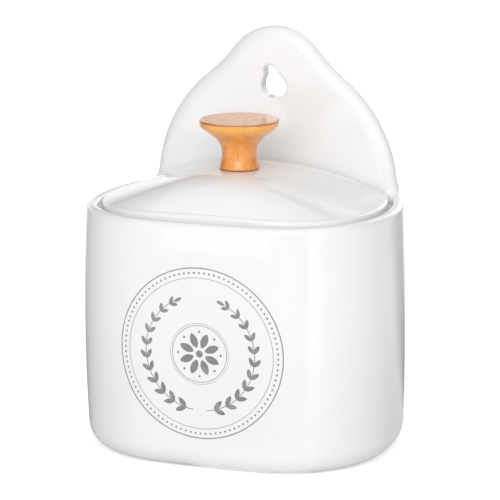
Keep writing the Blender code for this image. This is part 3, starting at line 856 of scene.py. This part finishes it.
def driver_cutter(turn):
    """One bar of the cross that a driver fits, turned this far and tapering inwards."""
    knob = settings("knob")
    shape = bmesh.new()
    bmesh.ops.create_cube(shape, size=1)
    size = 2 * knob.driver_reach, knob.driver_width, 2 * knob.driver_depth
    bmesh.ops.scale(shape, vec=size, verts=shape.verts)
    inner = [vert for vert in shape.verts if vert.co.z > 0]
    bmesh.ops.scale(shape, vec=(*DRIVER_TAPER, 1), verts=inner)
    bmesh.ops.rotate(shape, verts=shape.verts, matrix=Matrix.Rotation(turn, 3, "Z"))
    bmesh.ops.translate(shape, verts=shape.verts, vec=(0, 0, SCREW_LOW.z))
    return meshed("driver_cutter", shape)


def ring_profile(inner, low, high, edge):
    """A flat ring's section with softened edges, as a closed run of points."""
    points = []
    for side, z, start in ((high.x - edge, high.z - edge, 90), (high.x - edge, low.z + edge, 0),
                           (inner + edge, low.z + edge, 270), (inner + edge, high.z - edge, 180)):
        points += rounded_corner((side, z), edge, start, start - 90, 3)
    return points + points[:1]


def front_place(aside, z, lift):
    """The place on the pot's front at height z, this far along the glaze from the middle and raised by lift.
    It lies on the bow, or past the bow's end on the corner."""
    body = settings("body")
    draw, bow, corner = belly_draw(z), body.bow_radius, body.corner_radius
    bow_turn = min(abs(aside) / bow, bow_end(body.width / 2 - draw, bow, corner, body.side_radius))
    turn = bow_turn + (abs(aside) - bow * bow_turn) / corner
    x = (bow - corner) * sin(bow_turn) + (corner + lift) * sin(turn)
    y = bow - (bow - corner) * cos(bow_turn) - (corner + lift) * cos(turn)
    return Vector((copysign(x, aside), draw - body.depth / 2 + y, z))


def widened(shape, edges, factor):
    """Draws a face out of each edge, to this many times its distance from the middle."""
    outer = new_verts(bmesh.ops.extrude_edge_only(shape, edges=edges))
    bmesh.ops.scale(shape, vec=(factor, factor, factor), verts=outer)


def flat_band(shape, radius, width, steps):
    """A flat ring whose line runs at this radius."""
    loop = bmesh.ops.create_circle(shape, radius=radius - width / 2, segments=steps)["verts"]
    edges = list({edge for vert in loop for edge in vert.link_edges})
    widened(shape, edges, (radius + width / 2) / (radius - width / 2))


def flat_leaf(shape, stalk, reach, half_width, turn):
    """A pointed leaf whose stalk is at this place and whose tip lies in this direction."""
    verts = bmesh.ops.create_circle(shape, radius=1, segments=LEAF_STEPS, cap_ends=True)["verts"]
    for vert in verts:
        along = blended(LEAF_START_SHARE, 1, (vert.co.x + 1) / 2)
        vert.co = (along * reach, vert.co.y * abs(vert.co.y) ** LEAF_POWER * half_width, 0)
    bmesh.ops.rotate(shape, verts=verts, matrix=Matrix.Rotation(turn, 3, "Z"))
    bmesh.ops.translate(shape, verts=verts, vec=(*stalk, 0))


def flat_dot(shape, centre, radius, steps=12):
    verts = bmesh.ops.create_circle(shape, radius=radius, segments=steps, cap_ends=True)["verts"]
    bmesh.ops.translate(shape, verts=verts, vec=(*centre, 0))


def flat_stem(shape, radius, start, end, width):
    """A curved line of this width along a circle, between two directions."""
    loop = [shape.verts.new((*around(radius, turn), 0)) for turn in np.linspace(start, end, STEM_STEPS + 1)]
    edges = [shape.edges.new(pair) for pair in zip(loop, loop[1:])]
    widened(shape, edges, (radius + width) / radius)


def medallion_shape():
    """A ringed wreath round a rosette, drawn flat in shares of its radius and laid on the pot's front."""
    ink = settings("print")
    shape = bmesh.new()
    for radius, width, steps in MEDALLION_BANDS:
        flat_band(shape, radius, width, steps)
    for index in range(ink.beads):
        flat_dot(shape, around(0.937, 2 * pi * index / ink.beads), 0.0125)
    for side in (-1, 1):
        start, end = (-pi / 2 + side * turn for turn in BRANCH_TURNS)
        flat_stem(shape, BRANCH_RADIUS, start, end, 0.009)
        for index in range(ink.leaves):
            share = (index + 0.6) / ink.leaves
            turn, reach = blended(start, end, share), blended(0.145, 0.10, share)
            along = turn + side * pi / 2
            for lean in (-LEAF_LEAN, LEAF_LEAN):
                flat_leaf(shape, around(BRANCH_RADIUS, turn), reach, reach * 0.21, along - lean)
        flat_leaf(shape, around(BRANCH_RADIUS, end), 0.11, 0.02, end + side * pi / 2)
    for index in range(ink.petals):
        turn = 2 * pi * (index + 0.5) / ink.petals
        flat_leaf(shape, around(0.07, turn), 0.185, 0.045, turn)
        flat_dot(shape, around(0.26, 2 * pi * index / ink.petals), 0.014)
    flat_dot(shape, (0, 0), 0.042, 20)

    raised = set(new_verts(bmesh.ops.extrude_face_region(shape, geom=list(shape.faces))))
    for vert in shape.verts:
        lift = ink.thickness if vert in raised else -ink.thickness
        vert.co = front_place(vert.co.x * ink.radius, ink.height + vert.co.y * ink.radius, lift)
    return shape


class PieceOperator(bpy.types.Operator):
    """Base of the operators that build one piece or a group of like pieces."""
    bl_options = {"REGISTER", "UNDO"}


class CELLAR_OT_pot(PieceOperator):
    """Build the glazed pot with its back plate and hanging hole"""
    bl_idname = "cellar.pot"
    bl_label = "Pot"

    def execute(self, context):
        shape = skin([whole(half) for half in pot_rings()], True)
        glaze = glaze_finish("pot_glaze", POT_LOW.z + POT_BARE)
        piece = piece_from("glazed_pot", shape, glaze, "pot", ["pot"], True)
        cut_away(piece, hole_cutter())
        return {"FINISHED"}


class CELLAR_OT_lid(PieceOperator):
    """Build the vaulted lid with its crown and flange"""
    bl_idname = "cellar.lid"
    bl_label = "Lid"

    def execute(self, context):
        shape = skin([whole(half) for half in lid_rings()], False)
        glaze = glaze_finish("lid_glaze", LID_LOW.z + LID_BARE)
        piece_from("glazed_lid", shape, glaze, "lid", ["lid"], True)
        return {"FINISHED"}


class CELLAR_OT_knob(PieceOperator):
    """Build the turned bamboo knob"""
    bl_idname = "cellar.knob"
    bl_label = "Knob"

    def execute(self, context):
        shape = turned(knob_profile(), KNOB_STEPS)
        piece_from("bamboo_knob", shape, bamboo_finish(), "lid", ["knob"], True)
        return {"FINISHED"}


class CELLAR_OT_fixings(PieceOperator):
    """Build the screw, washer, seal and threaded insert that hold the knob"""
    bl_idname = "cellar.fixings"
    bl_label = "Fixings"

    def execute(self, context):
        colours = settings("colours")
        bore = settings("knob").screw_radius + settings("lid").seat
        steel = metal_finish("screw_steel", colours.steel, 0.22)
        brass = metal_finish("insert_brass", colours.brass, 0.25)
        shape = turned(screw_profile(), FIXING_STEPS)
        screw = piece_from("cross_head_screw", shape, steel, "lid", ["knob_screw"])
        for turn in (pi / 4, -pi / 4):
            cut_away(screw, driver_cutter(turn))
        for name, node, low, high, material, slot, edge in (
                ("plated_washer", "knob_washer", WASHER_LOW, WASHER_HIGH, steel, "screw_steel", 0.00015),
                ("rubber_seal", "knob_seal", SEAL_LOW, SEAL_HIGH, rubber_finish(), "seal_rubber", 0.0003),
                ("threaded_insert", "knob_insert", INSERT_LOW, INSERT_HIGH, brass, "insert_brass", 0.0002)):
            shape = turned(ring_profile(bore, low, high, edge), FIXING_STEPS)
            piece_from(name, shape, material, "lid", [node])
        return {"FINISHED"}


class CELLAR_OT_medallion(PieceOperator):
    """Lay the printed medallion on the pot's front"""
    bl_idname = "cellar.medallion"
    bl_label = "Medallion"

    def execute(self, context):
        piece_from("front_medallion", medallion_shape(), ink_finish(), "pot")
        return {"FINISHED"}


CAMERA_AZIMUTH, CAMERA_ELEVATION, CAMERA_ROLL = (radians(angle) for angle in (21.43, 12.50, -0.39))
CAMERA_TARGET = Vector((0.0046, 0, 0.08813))
CAMERA_DISTANCE = 1.361
CAMERA_LENS = 225.1
SENSOR = 36
KEY_PLACE, KEY_AIM = Vector((0.33, -1.40, 0.80)), Vector((0, 0, 0.10))
KEY_SIZE, KEY_WATTS = (0.9, 0.7), 6.6
FLOOR_SIZE = 12
FLOOR_SEEN = 0.45
FRONT_LIGHT, BACK_LIGHT, CEILING_LIGHT, RING_LIGHT = 1.63, 1.25, 1.0, 0.85
PLAIN_LIGHT, FOOT_LIGHT = 1.9, 1.1
FRONT_STOPS = ((0, 1), (0.12, 0.9), (0.16, 0.5), (0.20, 0.25), (0.26, 0.05), (0.32, 0),
               (0.72, 0), (0.78, 0.12), (0.82, 0.4), (0.88, 0.85), (1, 1))
FRONT_RISE_STOPS = ((0, 0.80), (0.30, 0.80), (0.42, 0.78), (0.72, 0.78), (0.80, 0))
BACK_STOPS = ((0.34, 0), (0.42, 1), (0.58, 1), (0.66, 0))
BACK_RISE_STOPS = ((0.14, 1), (0.21, 0.85), (0.28, 0.55), (0.35, 0.02), (0.42, 0.04), (0.52, 0.15),
                   (0.76, 0.1), (0.80, 0))
PLAIN_STOPS, PLAIN_RISE_STOPS = ((0.515, 0), (0.575, 1)), ((0.56, 1), (0.74, 0))
TABLE_STOPS = ((0, 0.4), (0.09, 0.5), (0.13, 0.95), (0.24, 1.2), (0.32, 0.6), (0.41, 0.35), (0.45, 1.1),
               (0.55, 1.1), (0.59, 0.35), (0.622, 0.35), (0.637, 0.8), (0.66, 1.3), (0.72, 1.25),
               (0.908, 1.15), (0.914, 1.8), (0.940, 1.8), (0.948, 0.4))
TABLE_AWAY_STOPS = ((0.055, 0.5), (0.45, 1))
FOOT_STOPS, FOOT_AWAY_STOPS = ((0, 1), (0.06, 1), (0.10, 0), (0.92, 0), (0.97, 1)), ((0.055, 0.8), (0.10, 0))
PATCH_STOPS, PATCH_AWAY_STOPS = ((0.044, 0), (0.052, 1), (0.134, 1), (0.142, 0)), ((0.69, 0), (0.72, 1))


def make_key_light():
    """A soft rectangular lamp above the camera, turned towards the object."""
    light = bpy.data.lights.new("key_softbox", "AREA")
    light.shape = "RECTANGLE"
    light.size, light.size_y = KEY_SIZE
    light.energy = KEY_WATTS
    lamp = added("key_softbox", light)
    lamp.location = KEY_PLACE
    lamp.rotation_euler = (KEY_AIM - KEY_PLACE).to_track_quat("-Z", "Y").to_euler()


def make_camera():
    """The camera, turned round its target, raised and rolled, at this distance from it."""
    camera = added("camera", bpy.data.cameras.new("camera"))
    camera.data.lens, camera.data.sensor_width = CAMERA_LENS, SENSOR
    turn = (Matrix.Rotation(CAMERA_AZIMUTH, 4, "Z") @ Matrix.Rotation(pi / 2 - CAMERA_ELEVATION, 4, "X")
            @ Matrix.Rotation(CAMERA_ROLL, 4, "Z"))
    back = turn @ Vector((0, 0, CAMERA_DISTANCE))
    camera.matrix_world = Matrix.Translation(CAMERA_TARGET + back) @ turn
    bpy.context.scene.camera = camera


def bearing(board, coordinates):
    """Where a place or direction lies round the object: 0 and 1 towards the camera, 0.25 at its left and 0.5
    behind the object."""
    parts = board.node("Mapping", {"Vector": coordinates, "Rotation": (0, 0, -CAMERA_AZIMUTH)})
    split = [board.node("SeparateXYZ", {0: parts}, output=index) for index in range(2)]
    return board.node("Math", {0: split[0], 1: split[1]}, operation="ARCTAN2") / (2 * pi) + 0.5


def make_floor():
    """A pale floor that is white to the eye and keeps a soft shadow. In the glaze it looks like a lit table
    among dark flags, with a bright strip at one side, light at the pot's foot and a patch further off."""
    board = finish("floor_paper")
    seen = board.node("LightPath", output="Is Camera Ray")
    mirrored = board.node("LightPath", output="Is Glossy Ray")
    place = board.place()
    turn = bearing(board, place)
    away = board.node("VectorMath", {0: place}, output="Value", operation="LENGTH")
    table = board.line(turn, *TABLE_STOPS) * board.ramp(away, *TABLE_AWAY_STOPS)
    at_foot = board.ramp(turn, *FOOT_STOPS) * board.ramp(away, *FOOT_AWAY_STOPS)
    patch = board.ramp(turn, *PATCH_STOPS) * board.ramp(away, *PATCH_AWAY_STOPS)
    paper_tone = board.mixed(board.noise(180, 3), (0.93, 0.93, 0.93), (0.90, 0.90, 0.90))
    paper = board.node("BsdfDiffuse", {"Color": paper_tone})
    glow = board.node("Emission", {"Color": (1, 1, 1), "Strength": seen * FLOOR_SEEN})
    lit = board.node("AddShader", {0: paper, 1: glow})
    image = board.node("Emission", {"Color": table + patch + at_foot * FOOT_LIGHT})
    material = board.surface(board.node("MixShader", {0: mirrored, 1: lit, 2: image}))
    shape = bmesh.new()
    bmesh.ops.create_grid(shape, x_segments=8, y_segments=8, size=FLOOR_SIZE / 2)
    floor = meshed("floor", shape)
    floor.data.materials.append(material)


def make_surroundings():
    """A studio that is white to the eye, lit by a wide bright front, a ceiling and a backdrop. The backdrop
    fades upwards into a dark band, but for its right part, which is plain and bright."""
    world = bpy.data.worlds.new("studio")
    bpy.context.scene.world = world
    board = Board(world)
    direction = board.node("TexCoord", output="Generated")
    turn = bearing(board, direction)
    rise = board.node("SeparateXYZ", {0: direction}, output=2)
    front = board.line(turn, *FRONT_STOPS) * board.line(rise, *FRONT_RISE_STOPS)
    lifted = board.line(rise, *BACK_RISE_STOPS)
    plain = board.ramp(turn, *PLAIN_STOPS) * board.ramp(rise, *PLAIN_RISE_STOPS)
    back = board.line(turn, *BACK_STOPS) * (lifted + (PLAIN_LIGHT - lifted) * plain)
    ring = board.ramp(rise, (0.76, 0), (0.80, 1)) * RING_LIGHT
    ceiling = board.ramp(rise, (0.92, 0), (0.96, 1)) * (CEILING_LIGHT - RING_LIGHT)
    light = front * FRONT_LIGHT + back * BACK_LIGHT + ceiling + ring
    seen = board.node("LightPath", output="Is Camera Ray")
    strength = board.node("Mix", {0: seen, 2: light, 3: 1.0}, data_type="FLOAT")
    glow = board.node("Background", {"Color": (1, 1, 1), "Strength": strength})
    board.surface(glow, "OutputWorld")


class CELLAR_OT_stage(PieceOperator):
    """Set up the floor, the surroundings, the lamps and the camera"""
    bl_idname = "cellar.stage"
    bl_label = "Stage"

    def execute(self, context):
        scene = context.scene
        scene.view_settings.view_transform = "Standard"
        make_floor()
        make_surroundings()
        make_key_light()
        make_camera()
        return {"FINISHED"}


class CELLAR_PT_panel(bpy.types.Panel):
    """Lists the pieces of the salt cellar and its stage"""
    bl_idname = "CELLAR_PT_panel"
    bl_label = "Salt Cellar"
    bl_space_type = "VIEW_3D"
    bl_region_type = "UI"
    bl_category = "Cellar"

    def draw(self, context):
        for name, group in GROUPS.items():
            box = self.layout.box()
            box.label(text=name.capitalize())
            for field in group.__annotations__:
                box.prop(settings(name), field)
        for operator in OPERATORS:
            self.layout.operator(operator.bl_idname)


OPERATORS = (CELLAR_OT_pot, CELLAR_OT_lid, CELLAR_OT_knob, CELLAR_OT_fixings, CELLAR_OT_medallion,
             CELLAR_OT_stage)


def register():
    for group in (*GROUPS.values(), *OPERATORS, CELLAR_PT_panel):
        bpy.utils.register_class(group)
    for name, group in GROUPS.items():
        setattr(bpy.types.Scene, "cellar_" + name, PointerProperty(type=group))


def unregister():
    for name in GROUPS:
        delattr(bpy.types.Scene, "cellar_" + name)
    for group in (CELLAR_PT_panel, *reversed(OPERATORS), *reversed(GROUPS.values())):
        bpy.utils.unregister_class(group)


def main():
    register()
    for operator in OPERATORS:
        family, name = operator.bl_idname.split(".")
        getattr(getattr(bpy.ops, family), name)()


if __name__ == "__main__":
    main()
